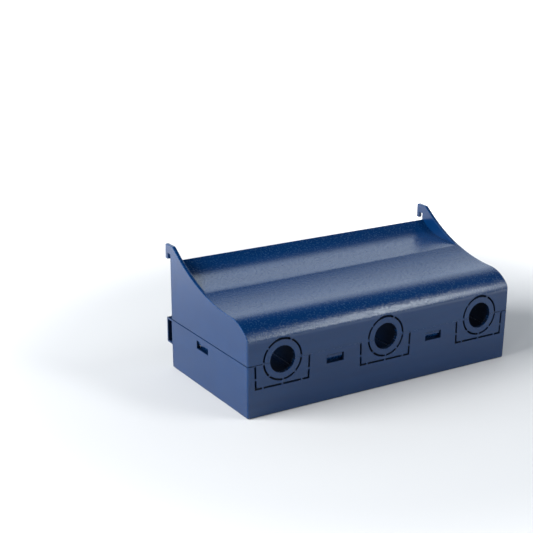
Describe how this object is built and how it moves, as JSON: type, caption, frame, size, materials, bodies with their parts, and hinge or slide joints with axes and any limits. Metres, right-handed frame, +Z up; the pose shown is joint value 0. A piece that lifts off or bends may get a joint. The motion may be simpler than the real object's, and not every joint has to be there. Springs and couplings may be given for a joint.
{
  "type": "terminal shroud",
  "caption": "Two-part moulded cover for a switch's cable terminals: curved hood with hooks over an open-backed tray, with knock-out cable entries along the front.",
  "frame": {"origin": "on the underside, below the middle of the overall box", "axes": "+X along the front wall to the right as seen from the front, +Y from the front wall to the open rear, +Z up"},
  "size_m": [0.177, 0.0888, 0.0728],
  "materials": {
    "blue_plastic": "dark blue moulded thermoplastic, fine satin texture"
  },
  "bodies": {
    "tray": {"tray": "blue_plastic", "phase_barrier_left": "blue_plastic", "phase_barrier_right": "blue_plastic"},
    "hood": {"hood": "blue_plastic"},
    "front_latch_left": {"front_latch_left": "blue_plastic"},
    "front_latch_right": {"front_latch_right": "blue_plastic"},
    "end_latch_left": {"end_latch_left": "blue_plastic"},
    "end_latch_right": {"end_latch_right": "blue_plastic"},
    "panel_left": {"knock_out_panel_left": "blue_plastic"},
    "lower_ring_left": {"lower_half_ring_left": "blue_plastic"},
    "upper_ring_left": {"upper_half_ring_left": "blue_plastic"},
    "panel_middle": {"knock_out_panel_middle": "blue_plastic"},
    "lower_ring_middle": {"lower_half_ring_middle": "blue_plastic"},
    "upper_ring_middle": {"upper_half_ring_middle": "blue_plastic"},
    "panel_right": {"knock_out_panel_right": "blue_plastic"},
    "lower_ring_right": {"lower_half_ring_right": "blue_plastic"},
    "upper_ring_right": {"upper_half_ring_right": "blue_plastic"}
  },
  "joints": [
    {"name": "hood_lift", "type": "slide", "parent": "tray", "child": "hood", "axis": [0, 0, 1], "range_m": [0, 0.06], "deforming": ["front_latch_left", "front_latch_right", "end_latch_left", "end_latch_right"]},
    {"name": "front_latch_left_press", "type": "hinge", "parent": "hood", "child": "front_latch_left", "pos_m": [-0.0325, -0.04115, 0.0389], "axis": [1, 0, 0], "range_deg": [0, 8], "stiffness_Nm_per_rad": 0.3},
    {"name": "front_latch_right_press", "type": "hinge", "parent": "hood", "child": "front_latch_right", "pos_m": [0.0325, -0.04115, 0.0389], "axis": [1, 0, 0], "range_deg": [0, 8], "stiffness_Nm_per_rad": 0.3},
    {"name": "end_latch_left_press", "type": "hinge", "parent": "hood", "child": "end_latch_left", "pos_m": [-0.08393, 0.00335, 0.0389], "axis": [0.0311, -0.9995, 0], "range_deg": [0, 8], "stiffness_Nm_per_rad": 0.3},
    {"name": "end_latch_right_press", "type": "hinge", "parent": "hood", "child": "end_latch_right", "pos_m": [0.08393, 0.00335, 0.0389], "axis": [0.0311, 0.9995, 0], "range_deg": [0, 8], "stiffness_Nm_per_rad": 0.3},
    {"name": "panel_left_removal", "type": "slide", "parent": "tray", "child": "panel_left", "axis": [0, -1, 0], "range_m": [0, 0.02]},
    {"name": "lower_ring_left_removal", "type": "slide", "parent": "panel_left", "child": "lower_ring_left", "axis": [0, -1, 0], "range_m": [0, 0.02]},
    {"name": "upper_ring_left_removal", "type": "slide", "parent": "hood", "child": "upper_ring_left", "axis": [0, -1, 0], "range_m": [0, 0.02]},
    {"name": "panel_middle_removal", "type": "slide", "parent": "tray", "child": "panel_middle", "axis": [0, -1, 0], "range_m": [0, 0.02]},
    {"name": "lower_ring_middle_removal", "type": "slide", "parent": "panel_middle", "child": "lower_ring_middle", "axis": [0, -1, 0], "range_m": [0, 0.02]},
    {"name": "upper_ring_middle_removal", "type": "slide", "parent": "hood", "child": "upper_ring_middle", "axis": [0, -1, 0], "range_m": [0, 0.02]},
    {"name": "panel_right_removal", "type": "slide", "parent": "tray", "child": "panel_right", "axis": [0, -1, 0], "range_m": [0, 0.02]},
    {"name": "lower_ring_right_removal", "type": "slide", "parent": "panel_right", "child": "lower_ring_right", "axis": [0, -1, 0], "range_m": [0, 0.02]},
    {"name": "upper_ring_right_removal", "type": "slide", "parent": "hood", "child": "upper_ring_right", "axis": [0, -1, 0], "range_m": [0, 0.02]}
  ]
}
